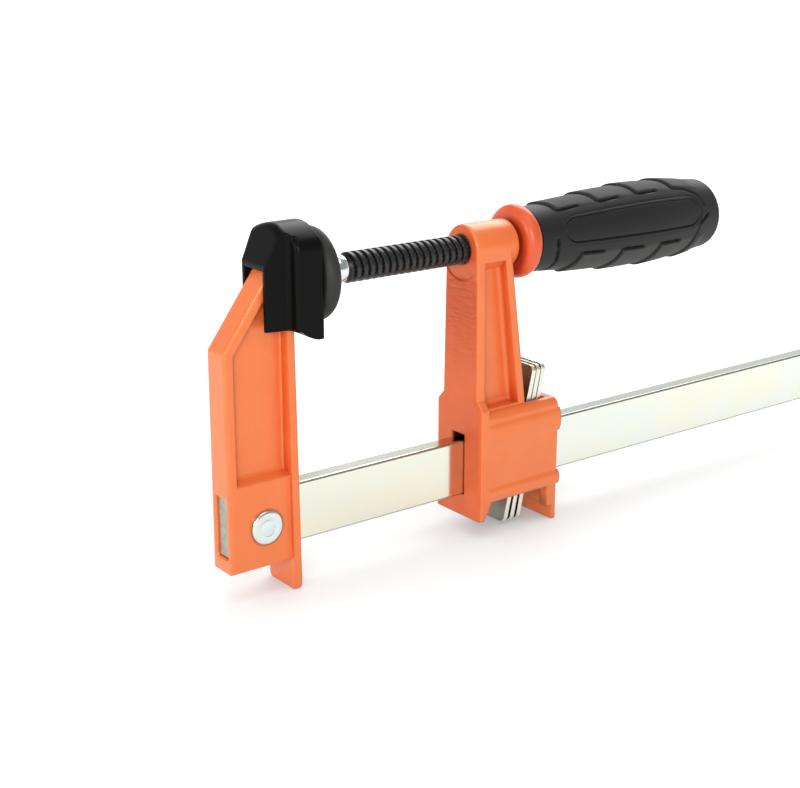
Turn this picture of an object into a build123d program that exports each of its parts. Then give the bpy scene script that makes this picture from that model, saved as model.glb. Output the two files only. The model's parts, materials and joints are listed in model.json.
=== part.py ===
"""Bar clamp: a flat steel bar with a riveted fixed jaw, a sliding jaw held by
tilting clutch plates, and a screw with a swivel pad and a handle.

Millimetres. The origin is the middle of the fixed jaw's foot, on the floor.
+X runs along the bar from the fixed jaw towards the handle, +Z is up and
Y = 0 is the mid-plane of the bar.
"""
import os
from math import cos, radians, sin, sqrt, tan

from build123d import *

# Bar
BAR_H = 19.0
BAR_T = 6.0
BAR_BOTTOM = 13.9
BAR_EDGE_R = 0.8
BAR_INSET = 1.0
BAR_END_X = 370.0

# Reach of the jaws over the bar, and the screw axis that it sets
THROAT = 63.5
BAR_TOP = BAR_BOTTOM + BAR_H
BAR_MID = BAR_BOTTOM + BAR_H / 2
AXIS_Z = BAR_TOP + THROAT

# Fixed jaw
FLANGE_FRONT_X = 2.0
FLANGE_T = 2.8
FLANGE_HALF_FOOT = 7.35
FLANGE_HALF_TOP = 5.3
FLANGE_TOP_Z = 107.0
FLANGE_EDGE_R = 0.8
FOOT_CORNER_R = 1.6
JAW_DEPTH = 23.9
SPINE_HALF_FOOT = 5.6
SPINE_HALF_TOP = 4.5
SPINE_SHOULDER_Z = 77.6
SPINE_SLOPE = 54.0
SPINE_EDGE_R = 1.0
RIB_T = 4.6
WEB_HALF = 2.1
BLOCK_BOTTOM_Z = 9.5
BLOCK_TOP_Z = 38.8
POCKET_DRAFT = 30.0
POCKET_R = 1.6
BAR_FIT = 0.1
SLOT_CORNER_R = 0.7
SLOT_MOUTH_R = 0.7

# Rivet through the fixed jaw and the bar
RIVET_D = 6.0
RIVET_FIT = 0.05
RIVET_HEAD_D = 10.8
RIVET_HEAD_H = 1.2
RIVET_HEAD_EDGE = 0.4
RIVET_SEAT_R = 5.8
RIVET_SEAT_DEPTH = 0.25
RIVET_BACK = 12.6
RIVET_Z = 22.3

# Plastic pad on the fixed jaw's tip
PAD_CROWN_R = 16.6
PAD_HALF = 12.1
PAD_FACE_X = 7.9
PAD_SHOULDER_X = -0.9
PAD_CROWN_CORNER_R = 5.0
PAD_SHOULDER_R = 1.8
PAD_BOTTOM_Z = 82.5
PAD_LIP_DROP = 3.0
PAD_LIP_T = 1.8
PAD_COVE_L = 5.6
PAD_COVE_SAG = 0.5
HOOD_HALF = 7.4
HOOD_HALF_REAR = 6.2
HOOD_REAR_X = -8.2
HOOD_SLOPE_Z = 102.0
HOOD_SLOPE = 63.4
HOOD_TOP_R = 3.0
HOOD_NOOK_R = 1.8
HOOD_HEADROOM = 2.3
HOOD_SOCKET_TOP_Z = 107.6
PAD_FIT = 0.2

# Sliding jaw
SLIDE_FRONT_X = 69.0
SLIDE_HALF = 11.5
SLIDE_TOP_Z = 43.4
SLIDE_EDGE_R = 3.0
SLIDE_CORNER_R = 1.4
FRONT_BOTTOM_Z = 6.3
FRONT_TAB_T = 2.0
FRONT_TAB_RISE = 3.0
FRONT_WALL_T = 5.0
REAR_WALL_T = 3.9
REAR_FOOT_T = 2.4
REAR_STEP_Z = 5.2
REAR_STEP_L = 1.0
SKIRT_Z = 12.4
SLOT_HALF = 3.3
SLOT_TOP_Z = 34.9
SLOT_UNDER = 0.1
CAVITY_HALF = 8.2
BAND_RISE = 0.9
BAND_SETBACK = 1.8
BAND_RAMP = 3.4
BAND_UPPER = (31.9, 39.9)
BAND_LOWER = (12.6, 17.6)

# Column of the sliding jaw
COLUMN_HALF_LOW = 9.0
COLUMN_DEPTH_TOP = 14.6
COLUMN_ROOT = 0.5
COLUMN_FRONT_T = 3.7
COLUMN_REAR_T = 2.8
COLUMN_WEB_HALF = 4.2
COLUMN_POCKET_RISE = 0.8
COLUMN_POCKET_TOP_DROP = 3.8
COLUMN_FLARE_RISE = 1.0
COLUMN_FLARE_H = 2.8
COLUMN_POCKET_R = 1.5
COLUMN_CORNER_R = 1.8
BOSS_R = 8.0
BOSS_L = 18.5
BOSS_EDGE = 0.7
SPOT_R = 10.0
SPOT_DEPTH = 0.4

# Clutch plates
PLATE_T = 1.8
PLATE_GAP = 0.5
PLATE_HALF = 7.5
PLATE_TILT = 11.8
PLATE_FAN = 0.93
PLATE_STOP_FIT = 1.4
PLATE_BELOW = 34.4
PLATE_ABOVE = 20.0
PLATE_CORNER_R = 2.0
PLATE_GRIP_FIT = 0.04
PLATE_SIDE_FIT = 0.3
FULCRUM_SETBACK = 21.5
FULCRUM_Z = 35.4
FULCRUM_FIT = 0.3

# Clutch spring
SPRING_R = 1.95
SPRING_WIRE_D = 0.7
SPRING_TURNS = 6
SPRING_Z = 39.5
SPRING_POCKET_R = 2.7
SPRING_POCKET_L = 9.0
SPRING_END_FIT = 0.1

# Screw and swivel
SCREW_R = 4.73
SCREW_FIT = 0.05
SCREW_FRONT_X = 22.9
SCREW_REAR_X = 139.5
SCREW_CHAMFER = 0.8
JOURNAL_R = 2.15
JOURNAL_FIT = 0.05
JOURNAL_HEAD_R = 2.9
JOURNAL_HEAD_L = 1.6
JOURNAL_RECESS = 0.1
BALL_R = 4.4
BALL_X = 16.6
WAIST_L = 0.8
COLLAR_WAIST_R = 3.9
COLLAR_R = 4.5
COLLAR_END_R = 4.1
SOCKET_FIT = 0.2
SOCKET_WRAP = 1.2
SWIVEL_R = 14.2
SWIVEL_FACE_R = 12.4
SWIVEL_FACE_X = 8.9
SWIVEL_RIM_T = 3.1
SWIVEL_BACK_T = 4.7
SWIVEL_HUB_R = 7.4
SWIVEL_HUB_EDGE = 1.0

# Handle
COLLAR_FACE_X = 88.8
COLLAR_T = 6.2
HANDLE_COLLAR_R = 12.15
HANDLE_END_X = 179.8
CORE_R = 7.6
CORE_END_R = 9.2
CORE_END_T = 3.0
CORE_END_EDGE = 0.8
CORE_HOLE_SPARE = 0.5
GRIP_FIT = 0.05
GRIP_FRONT_R = 10.7
GRIP_NECK_R = 12.0
GRIP_BELLY_R = 14.0
GRIP_TAIL_R = 12.9
GRIP_TAIL_DROP = 0.6
GRIP_NOSE_DROP = 1.9
GRIP_NOSE_L = 4.0
GRIP_NOSE_MID = 1.4
GRIP_RIM_T = 0.4
GRIP_NECK_X = 111.5
GRIP_BELLY_X = 143.0
GRIP_TAIL_X = 170.2

# Stop pin at the far end of the bar
STOP_D = 4.0
STOP_L = 11.0
STOP_MARGIN = 6.0
STOP_FIT = 0.02

FLANGE_REAR_X = FLANGE_FRONT_X - FLANGE_T
SPINE_BACK_X = FLANGE_FRONT_X - JAW_DEPTH
RIVET_X = SPINE_BACK_X + RIVET_BACK
FULCRUM_X = SLIDE_FRONT_X + FULCRUM_SETBACK
PLATE_COUNT = 3
# An edge this close to a plane lies on it, and one with more than this share of Y runs across the clamp
NEAR = 0.05
CROSSWISE = 0.8
PLATE_PITCH = PLATE_T / cos(radians(PLATE_TILT)) + PLATE_GAP


def side_face(points):
    """Face in the XZ plane from a closed list of (x, z) corners."""
    return Plane.XZ * make_face(Polyline(*points, close=True))


def cross_face(points, x):
    """Face in a plane across the bar at x, from a closed list of (y, z) corners."""
    return Plane((x, 0, 0), x_dir=(0, 1, 0), z_dir=(1, 0, 0)) * make_face(Polyline(*points, close=True))


def both_ways(face, half):
    """Solid of a side face, carried to both sides of the mid-plane."""
    return extrude(face, amount=half, dir=(0, 1, 0), both=True)


def span(x0, x1, y0, y1, z0, z1):
    """Box between two corners."""
    return Pos((x0 + x1) / 2, (y0 + y1) / 2, (z0 + z1) / 2) * Box(x1 - x0, y1 - y0, z1 - z0)


def rod_x(radius, x0, x1, z=AXIS_Z):
    """Round bar along X between x0 and x1."""
    return Pos((x0 + x1) / 2, 0, z) * Rot(0, 90, 0) * Cylinder(radius, x1 - x0)


def rod_y(radius, half, x, z):
    """Round bar across the clamp."""
    return Pos(x, 0, z) * Rot(90, 0, 0) * Cylinder(radius, 2 * half)


def turned(edges):
    """Solid of revolution about the screw axis, from (x, r) edges above it."""
    face = Plane.XZ * make_face(edges)
    return Pos(0, 0, AXIS_Z) * revolve(face, Axis.X)


def crosswise(edge):
    """Whether an edge runs across the clamp."""
    return abs(edge.tangent_at(0.5).Y) > CROSSWISE


def edges_at_x(solid, x):
    """Edges in a plane across the bar."""
    return solid.edges().filter_by(lambda e: abs(e.center().X - x) < NEAR)


def edges_at_y(solid, y):
    """Edges in the two planes at a distance from the mid-plane."""
    return solid.edges().filter_by(lambda e: abs(abs(e.center().Y) - y) < NEAR)


def slope_z(x, lift=0.0):
    """Height of the fixed jaw's sloped back at x, lifted square to the slope."""
    rise = tan(radians(SPINE_SLOPE))
    return SPINE_SHOULDER_Z + (x - SPINE_BACK_X) * rise + lift / cos(radians(SPINE_SLOPE))


def plate_tilt(index):
    """Lean of a clutch plate at rest: the plates fan out towards the floor."""
    return PLATE_TILT + (1 - index) * PLATE_FAN


def plate_front_x(z, index=0):
    """Where the front face of a clutch plate stands at height z, at rest."""
    return FULCRUM_X + index * PLATE_PITCH + (z - FULCRUM_Z) * tan(radians(plate_tilt(index)))


LAST_PLATE = PLATE_COUNT - 1
PLATES_REAR_X = plate_front_x(SLIDE_TOP_Z, LAST_PLATE) + PLATE_T / cos(radians(plate_tilt(LAST_PLATE)))
SLIDE_REAR_X = PLATES_REAR_X + PLATE_STOP_FIT + REAR_WALL_T
SLIDE_L = SLIDE_REAR_X - SLIDE_FRONT_X
MOUTH_X = plate_front_x(FULCRUM_Z) - FULCRUM_FIT


def make_bar():
    x0 = SPINE_BACK_X + BAR_INSET
    solid = span(x0, BAR_END_X, -BAR_T / 2, BAR_T / 2, BAR_BOTTOM, BAR_TOP)
    solid = fillet(solid.edges().filter_by(Axis.X), BAR_EDGE_R)
    solid -= rod_y(RIVET_D / 2 + RIVET_FIT, BAR_T, RIVET_X, RIVET_Z)
    return solid - rod_y(STOP_D / 2 + STOP_FIT, BAR_T, BAR_END_X - STOP_MARGIN, BAR_MID)


def make_stop_pin():
    pin = rod_y(STOP_D / 2, STOP_L / 2, BAR_END_X - STOP_MARGIN, BAR_MID)
    return chamfer(pin.edges().filter_by(GeomType.CIRCLE), STOP_D / 10)


def spine_half(z):
    """Half width of the fixed jaw's spine at height z."""
    return SPINE_HALF_FOOT + (SPINE_HALF_TOP - SPINE_HALF_FOOT) * z / FLANGE_TOP_Z


def make_fixed_jaw():
    rear = FLANGE_REAR_X
    outline = side_face([
        (SPINE_BACK_X, BLOCK_BOTTOM_Z),
        (SPINE_BACK_X, SPINE_SHOULDER_Z),
        (rear, slope_z(rear)),
        (rear, BLOCK_BOTTOM_Z),
    ])
    taper = [
        (-SPINE_HALF_FOOT, 0),
        (SPINE_HALF_FOOT, 0),
        (spine_half(slope_z(rear)), slope_z(rear)),
        (-spine_half(slope_z(rear)), slope_z(rear)),
    ]
    body = both_ways(outline, FLANGE_HALF_FOOT)
    body &= extrude(cross_face(taper, SPINE_BACK_X), amount=JAW_DEPTH, dir=(1, 0, 0))
    back_edges = body.edges().filter_by(lambda e: e.center().X < rear - FLANGE_T)
    body = fillet(back_edges.filter_by(lambda e: not crosswise(e)), SPINE_EDGE_R)
    pocket_back = SPINE_BACK_X + RIB_T
    pocket = side_face([
        (pocket_back, BLOCK_TOP_Z),
        (pocket_back, slope_z(pocket_back, -RIB_T)),
        (rear, slope_z(rear, -RIB_T)),
        (rear, BLOCK_TOP_Z),
    ])
    for side in (-1, 1):
        cut = extrude(pocket, amount=SPINE_HALF_FOOT, dir=(0, side, 0), taper=-POCKET_DRAFT)
        cut = Pos(0, side * WEB_HALF, 0) * cut
        body -= fillet(edges_at_y(cut, WEB_HALF), POCKET_R)
    flange_outline = [
        (-FLANGE_HALF_FOOT, 0),
        (FLANGE_HALF_FOOT, 0),
        (FLANGE_HALF_TOP, FLANGE_TOP_Z),
        (-FLANGE_HALF_TOP, FLANGE_TOP_Z),
    ]
    flange = extrude(cross_face(flange_outline, rear), amount=FLANGE_T, dir=(1, 0, 0))
    flange = fillet(flange.edges().filter_by(Axis.X), FOOT_CORNER_R)
    flange = fillet(flange.faces().sort_by(Axis.X)[-1].edges(), FLANGE_EDGE_R)
    jaw = body + flange
    slot_half = BAR_T / 2 + BAR_FIT
    slot = span(
        SPINE_BACK_X - JAW_DEPTH, FLANGE_FRONT_X + JAW_DEPTH,
        -slot_half, slot_half,
        BAR_BOTTOM - BAR_FIT, BAR_TOP + BAR_FIT,
    )
    jaw -= fillet(slot.edges().filter_by(Axis.X), SLOT_CORNER_R)
    back = jaw.faces().filter_by(Plane.YZ).sort_by(Axis.X)[0]
    jaw = fillet(back.inner_wires()[0].edges(), SLOT_MOUTH_R)
    seats = rod_y(RIVET_SEAT_R, FLANGE_HALF_FOOT, RIVET_X, RIVET_Z)
    seats -= rod_y(RIVET_SEAT_R, rivet_seat(), RIVET_X, RIVET_Z)
    return jaw - seats - rod_y(RIVET_D / 2 + RIVET_FIT, FLANGE_HALF_FOOT, RIVET_X, RIVET_Z)


def rivet_seat():
    """Distance of the rivet heads' spot-faced seats from the mid-plane."""
    return spine_half(RIVET_Z) - RIVET_SEAT_DEPTH


def make_rivet():
    seat = rivet_seat()
    rivet = rod_y(RIVET_D / 2, seat, RIVET_X, RIVET_Z)
    for side in (-1, 1):
        head = Pos(RIVET_X, side * (seat + RIVET_HEAD_H / 2), RIVET_Z) * Rot(90, 0, 0)
        head = head * Cylinder(RIVET_HEAD_D / 2, RIVET_HEAD_H)
        rim = head.edges().filter_by(GeomType.CIRCLE).sort_by(lambda e: side * e.center().Y)[-1]
        rivet += chamfer(rim, RIVET_HEAD_EDGE)
    return rivet


def make_pad_head():
    """Wide head of the pad: a crown round the screw axis, rounded shoulders and a coved lip."""
    crown_z = AXIS_Z + PAD_CROWN_R
    lip_x = PAD_FACE_X - PAD_LIP_T
    lip_z = PAD_BOTTOM_Z - PAD_LIP_DROP
    cove_x = lip_x - PAD_COVE_L
    outline = Polyline(
        (cove_x, PAD_BOTTOM_Z), (PAD_SHOULDER_X, PAD_BOTTOM_Z), (PAD_SHOULDER_X, crown_z),
        (PAD_FACE_X, crown_z), (PAD_FACE_X, lip_z), (lip_x, lip_z),
    )
    cove = SagittaArc((lip_x, lip_z), (cove_x, PAD_BOTTOM_Z), PAD_COVE_SAG)
    head = both_ways(Plane.XZ * make_face([outline, cove]), PAD_HALF)
    crown = rod_x(PAD_CROWN_R, PAD_SHOULDER_X - PAD_FACE_X, 2 * PAD_FACE_X)
    crown += span(PAD_SHOULDER_X - PAD_FACE_X, 2 * PAD_FACE_X, -PAD_CROWN_R, PAD_CROWN_R, 0, AXIS_Z)
    head &= crown
    corners = edges_at_y(head, PAD_HALF).filter_by(Axis.X)
    head = fillet(corners.filter_by(lambda e: e.center().Z > AXIS_Z), PAD_CROWN_CORNER_R)
    rim = edges_at_x(head, PAD_SHOULDER_X)
    return fillet(rim.filter_by(lambda e: e.center().Z > PAD_BOTTOM_Z + NEAR), PAD_SHOULDER_R)


def make_pad_hood():
    """Narrow hood behind the head, tapering to the rear, with a sloped back."""
    crown_z = AXIS_Z + PAD_CROWN_R
    front_x = PAD_SHOULDER_X + PAD_SHOULDER_R
    slope_x = HOOD_REAR_X + (crown_z - HOOD_SLOPE_Z) / tan(radians(HOOD_SLOPE))
    outline = side_face([
        (HOOD_REAR_X, PAD_BOTTOM_Z),
        (HOOD_REAR_X, HOOD_SLOPE_Z),
        (slope_x, crown_z),
        (front_x, crown_z),
        (front_x, PAD_BOTTOM_Z),
    ])
    nook_x = PAD_SHOULDER_X - HOOD_NOOK_R
    wide = HOOD_HALF + HOOD_NOOK_R
    bow = HOOD_NOOK_R / sqrt(2)
    plan = [
        Polyline(
            (nook_x, HOOD_HALF), (HOOD_REAR_X, HOOD_HALF_REAR),
            (HOOD_REAR_X, -HOOD_HALF_REAR), (nook_x, -HOOD_HALF),
        ),
        ThreePointArc((nook_x, -HOOD_HALF), (nook_x + bow, bow - wide), (PAD_SHOULDER_X, -wide)),
        Polyline((PAD_SHOULDER_X, -wide), (front_x, -wide), (front_x, wide), (PAD_SHOULDER_X, wide)),
        ThreePointArc((PAD_SHOULDER_X, wide), (nook_x + bow, wide - bow), (nook_x, HOOD_HALF)),
    ]
    hood = both_ways(outline, PAD_HALF) & extrude(Plane.XY * make_face(plan), amount=2 * AXIS_Z)
    crown = rod_x(PAD_CROWN_R, 2 * HOOD_REAR_X, front_x)
    hood &= crown + span(2 * HOOD_REAR_X, front_x, -PAD_HALF, PAD_HALF, 0, AXIS_Z)
    brow = hood.edges().filter_by(lambda e: crosswise(e) and e.center().Z > HOOD_SLOPE_Z + NEAR)
    return fillet(brow.filter_by(lambda e: e.center().X < front_x - NEAR), HOOD_TOP_R)


def make_fixed_pad():
    pad = make_pad_head() + make_pad_hood()
    flange_half = FLANGE_HALF_FOOT + (FLANGE_HALF_TOP - FLANGE_HALF_FOOT) * PAD_BOTTOM_Z / FLANGE_TOP_Z
    pad -= span(
        FLANGE_REAR_X - PAD_FIT, FLANGE_FRONT_X + PAD_FIT,
        -flange_half - PAD_FIT, flange_half + PAD_FIT,
        0, FLANGE_TOP_Z + PAD_FIT,
    )
    socket = side_face([
        (SPINE_BACK_X, 0),
        (SPINE_BACK_X, slope_z(SPINE_BACK_X, HOOD_HEADROOM)),
        (0, slope_z(0, HOOD_HEADROOM)),
        (0, 0),
    ])
    room = both_ways(socket, spine_half(PAD_BOTTOM_Z) + PAD_FIT)
    return pad - (room & span(SPINE_BACK_X, 0, -PAD_HALF, PAD_HALF, 0, HOOD_SOCKET_TOP_Z))


def band(z_low, z_high, side):
    """Low rounded rib along the side of the sliding jaw, rising from the wall at its front end."""
    wall = side * SLIDE_HALF
    root = wall - side * BAND_RISE
    crest = wall + side * BAND_RISE
    front = SLIDE_FRONT_X + BAND_SETBACK
    outline = Polyline((wall, z_low), (root, z_low), (root, z_high), (wall, z_high))
    arc = ThreePointArc((wall, z_high), (crest, (z_low + z_high) / 2), (wall, z_low))
    plane = Plane((front, 0, 0), x_dir=(0, 1, 0), z_dir=(1, 0, 0))
    rib = extrude(plane * make_face([outline, arc]), amount=SLIDE_L - BAND_SETBACK, dir=(1, 0, 0))
    ramp = make_face(Polyline((front, wall), (front + BAND_RAMP, crest), (front, crest), close=True))
    return rib - Pos(0, 0, z_low) * extrude(Plane.XY * ramp, amount=z_high - z_low, dir=(0, 0, 1))


def front_edges(solid):
    """Edges of the sliding jaw's front face that run up or aslant."""
    return edges_at_x(solid, SLIDE_FRONT_X).filter_by(lambda e: not crosswise(e))


def make_slide_box():
    """Box that runs on the bar, open below, with a front tab and a rear foot."""
    rear, front = SLIDE_REAR_X, SLIDE_FRONT_X
    foot_front = rear - REAR_FOOT_T
    step_x = rear - REAR_WALL_T - REAR_STEP_L
    skirt_front = front + FRONT_WALL_T
    box = both_ways(
        side_face([
            (front, FRONT_BOTTOM_Z),
            (front, SLIDE_TOP_Z),
            (rear, SLIDE_TOP_Z),
            (rear, 0),
            (foot_front, 0),
            (foot_front, REAR_STEP_Z),
            (step_x, REAR_STEP_Z),
            (step_x, SKIRT_Z),
            (skirt_front, SKIRT_Z),
            (skirt_front - FRONT_TAB_T / 2, FRONT_BOTTOM_Z + FRONT_TAB_RISE),
            (front + FRONT_TAB_T, FRONT_BOTTOM_Z),
        ]),
        SLIDE_HALF,
    )
    top_edges = box.edges().filter_by(Axis.X).filter_by(lambda e: e.center().Z > SLIDE_TOP_Z - NEAR)
    box = fillet(top_edges, SLIDE_EDGE_R)
    return fillet(edges_at_x(box, rear).filter_by(Axis.Z) + front_edges(box), SLIDE_CORNER_R)


def make_column():
    """I-section column: a wide front plate, a thin web and a sloping rear plate."""
    front = SLIDE_FRONT_X
    low_z = SLIDE_TOP_Z - COLUMN_ROOT
    rear_low = MOUTH_X
    rear_top = front + COLUMN_DEPTH_TOP
    lean = (rear_low - rear_top) / (AXIS_Z - low_z)
    side = side_face([(front, low_z), (rear_low, low_z), (rear_top, AXIS_Z), (front, AXIS_Z)])
    taper = [
        (-COLUMN_HALF_LOW, low_z),
        (COLUMN_HALF_LOW, low_z),
        (BOSS_R, AXIS_Z),
        (-BOSS_R, AXIS_Z),
    ]
    column = both_ways(side, SLIDE_HALF) & extrude(cross_face(taper, front), amount=SLIDE_L, dir=(1, 0, 0))
    column = fillet(front_edges(column), COLUMN_CORNER_R)
    pocket_low = SLIDE_TOP_Z + COLUMN_POCKET_RISE
    pocket_top = AXIS_Z - COLUMN_POCKET_TOP_DROP
    inner = rear_low - COLUMN_REAR_T
    pocket = side_face([
        (front + COLUMN_FRONT_T, pocket_low),
        (inner - lean * (pocket_low - low_z), pocket_low),
        (inner - lean * (pocket_top - low_z), pocket_top),
        (front + COLUMN_FRONT_T, pocket_top),
    ])
    for way in (-1, 1):
        cut = Pos(0, way * COLUMN_WEB_HALF, 0) * extrude(pocket, amount=SLIDE_HALF, dir=(0, way, 0))
        column -= fillet(edges_at_y(cut, COLUMN_WEB_HALF), COLUMN_POCKET_R)
    flare_z = SLIDE_TOP_Z + COLUMN_FLARE_RISE
    flare_outline = [
        (-SLIDE_HALF, SLIDE_TOP_Z - SLIDE_EDGE_R),
        (SLIDE_HALF, SLIDE_TOP_Z - SLIDE_EDGE_R),
        (SLIDE_HALF, flare_z),
        (COLUMN_HALF_LOW, flare_z + COLUMN_FLARE_H),
        (-COLUMN_HALF_LOW, flare_z + COLUMN_FLARE_H),
        (-SLIDE_HALF, flare_z),
    ]
    flare = extrude(cross_face(flare_outline, front), amount=COLUMN_FRONT_T, dir=(1, 0, 0))
    return column + fillet(front_edges(flare), SLIDE_CORNER_R)


def make_sliding_jaw():
    """Casting on the bar: box, column and boss, with a slot, a hollow for the plates and a spot face."""
    front, rear = SLIDE_FRONT_X, SLIDE_REAR_X
    hollow_rear = rear - REAR_WALL_T
    boss_rear = front + BOSS_L
    jaw = make_slide_box() + make_column()
    for side in (-1, 1):
        jaw += band(*BAND_UPPER, side)
        jaw += band(*BAND_LOWER, side)
    boss = fillet(edges_at_x(rod_x(BOSS_R, front, boss_rear), front), COLUMN_CORNER_R)
    jaw += chamfer(edges_at_x(boss, boss_rear), BOSS_EDGE)
    jaw -= rod_x(SPOT_R, front - BOSS_L, front + SPOT_DEPTH)
    jaw -= rod_x(SCREW_R + SCREW_FIT, front - BOSS_L, boss_rear + BOSS_L)
    jaw -= span(front + FRONT_WALL_T, hollow_rear, -CAVITY_HALF, CAVITY_HALF, -SKIRT_Z, SLOT_TOP_Z)
    jaw -= span(MOUTH_X, hollow_rear, -CAVITY_HALF, CAVITY_HALF, SKIRT_Z, SLIDE_TOP_Z + COLUMN_POCKET_RISE)
    jaw -= span(
        front - BOSS_L, rear + BOSS_L,
        -SLOT_HALF, SLOT_HALF,
        BAR_BOTTOM - SLOT_UNDER, SLOT_TOP_Z,
    )
    return jaw - rod_x(SPRING_POCKET_R, MOUTH_X - SPRING_POCKET_L, MOUTH_X + FULCRUM_FIT, SPRING_Z)


def make_clutch_plate(index):
    """Flat plate with a window for the bar, leaning back on its fulcrum."""
    lean = plate_tilt(index)
    tilt = radians(lean)
    window_h = (BAR_H + PLATE_T * sin(tilt)) / cos(tilt) + 2 * PLATE_GRIP_FIT
    drop = (FULCRUM_Z - BAR_MID) / cos(tilt)
    window_mid = PLATE_T / 2 * tan(tilt) - drop
    plate = span(0, PLATE_T, -PLATE_HALF, PLATE_HALF, -PLATE_BELOW, PLATE_ABOVE)
    plate = fillet(plate.edges().filter_by(Axis.X), PLATE_CORNER_R)
    window_half = BAR_T / 2 + PLATE_SIDE_FIT
    plate -= span(
        -PLATE_T, 2 * PLATE_T,
        -window_half, window_half,
        window_mid - window_h / 2, window_mid + window_h / 2,
    )
    return Pos(FULCRUM_X + index * PLATE_PITCH, 0, FULCRUM_Z) * Rot(0, lean, 0) * plate


def make_clutch_spring():
    """Compression spring in its pocket, pressing the front plate's upper end back."""
    x0 = MOUTH_X - SPRING_POCKET_L + SPRING_WIRE_D / 2 + SPRING_END_FIT
    lowest = SPRING_Z - SPRING_R - SPRING_WIRE_D
    x1 = plate_front_x(lowest) - SPRING_WIRE_D / 2 - SPRING_END_FIT
    pitch = (x1 - x0) / SPRING_TURNS
    path = Helix(pitch, x1 - x0, SPRING_R)
    wire = sweep(Plane(path @ 0, z_dir=path % 0) * Circle(SPRING_WIRE_D / 2), path=path)
    return Pos(x0, 0, SPRING_Z) * Rot(0, 90, 0) * wire


def journal_mouth_x():
    """Where the seat of the journal's head opens through the ball's nose."""
    return BALL_X - sqrt(BALL_R ** 2 - (JOURNAL_HEAD_R + JOURNAL_FIT) ** 2)


def make_screw():
    """Plain shank at the thread's outside size, with a journal and a peened head."""
    head_x = journal_mouth_x() + JOURNAL_RECESS
    neck_x = head_x + JOURNAL_HEAD_L
    outline = Polyline(
        (head_x, 0),
        (head_x, JOURNAL_HEAD_R),
        (neck_x, JOURNAL_HEAD_R),
        (neck_x, JOURNAL_R),
        (SCREW_FRONT_X, JOURNAL_R),
        (SCREW_FRONT_X, SCREW_R),
        (SCREW_REAR_X - SCREW_CHAMFER, SCREW_R),
        (SCREW_REAR_X, SCREW_R - SCREW_CHAMFER),
        (SCREW_REAR_X, 0),
        close=True,
    )
    return turned(outline)


def make_swivel_ball():
    """Ball sleeve that turns on the screw's journal: a ball nose, a waist and a collar."""
    mouth_x = journal_mouth_x()
    seat_r = JOURNAL_HEAD_R + JOURNAL_FIT
    seat_x = mouth_x + JOURNAL_RECESS + JOURNAL_HEAD_L + JOURNAL_FIT
    bore_r = JOURNAL_R + JOURNAL_FIT
    wrap_x = BALL_X + SOCKET_WRAP
    wrap_r = sqrt(BALL_R ** 2 - SOCKET_WRAP ** 2)
    waist_x = wrap_x + WAIST_L
    end_x = SCREW_FRONT_X - JOURNAL_FIT
    edges = [
        ThreePointArc((mouth_x, seat_r), (BALL_X, BALL_R), (wrap_x, wrap_r)),
        Polyline((wrap_x, wrap_r), (waist_x, COLLAR_WAIST_R)),
        ThreePointArc((waist_x, COLLAR_WAIST_R), ((waist_x + end_x) / 2, COLLAR_R), (end_x, COLLAR_END_R)),
        Polyline(
            (end_x, COLLAR_END_R), (end_x, bore_r), (seat_x, bore_r), (seat_x, seat_r), (mouth_x, seat_r),
        ),
    ]
    return turned(edges)


def make_swivel_pad():
    """Round pad with a flared rim and a socket that snaps over the ball."""
    face_x = SWIVEL_FACE_X
    back_x = face_x + SWIVEL_BACK_T
    rim_x = face_x + SWIVEL_RIM_T
    hub_x = BALL_X + SOCKET_WRAP
    socket_r = BALL_R + SOCKET_FIT
    mouth_r = sqrt(socket_r ** 2 - SOCKET_WRAP ** 2)
    turn_r = SWIVEL_BACK_T - SWIVEL_RIM_T
    hub_r = SWIVEL_HUB_R
    edge = SWIVEL_HUB_EDGE
    rise = SWIVEL_R - SWIVEL_FACE_R
    flare = SagittaArc((face_x, SWIVEL_FACE_R), (rim_x, SWIVEL_R), rise / 4)
    edges = [
        Polyline((face_x, 0), (face_x, SWIVEL_FACE_R)),
        flare,
        RadiusArc((rim_x, SWIVEL_R), (back_x, SWIVEL_R - turn_r), turn_r),
        Polyline((back_x, SWIVEL_R - turn_r), (hub_x - edge, hub_r), (hub_x, hub_r - edge), (hub_x, mouth_r)),
        ThreePointArc((hub_x, mouth_r), (BALL_X, socket_r), (BALL_X - socket_r, 0)),
        Polyline((BALL_X - socket_r, 0), (face_x, 0)),
    ]
    return turned(edges)


def make_handle_core():
    """Handle core: a rounded collar, a sleeve on the screw and an end disc."""
    rear_x = COLLAR_FACE_X + COLLAR_T
    crest_x = COLLAR_FACE_X + COLLAR_T / 2
    bore_r = SCREW_R + SCREW_FIT
    hole_x = SCREW_REAR_X + CORE_HOLE_SPARE
    face_r = HANDLE_COLLAR_R - COLLAR_T / 2
    disc_x = HANDLE_END_X - CORE_END_T
    edge_r = CORE_END_R - CORE_END_EDGE
    edges = [
        Polyline((hole_x, 0), (hole_x, bore_r), (COLLAR_FACE_X, bore_r), (COLLAR_FACE_X, face_r)),
        ThreePointArc((COLLAR_FACE_X, face_r), (crest_x, HANDLE_COLLAR_R), (rear_x, face_r)),
        Polyline(
            (rear_x, face_r), (rear_x, CORE_R), (disc_x, CORE_R), (disc_x, CORE_END_R),
            (HANDLE_END_X - CORE_END_EDGE, CORE_END_R), (HANDLE_END_X, edge_r),
            (HANDLE_END_X, 0), (hole_x, 0),
        ),
    ]
    return turned(edges)


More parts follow.
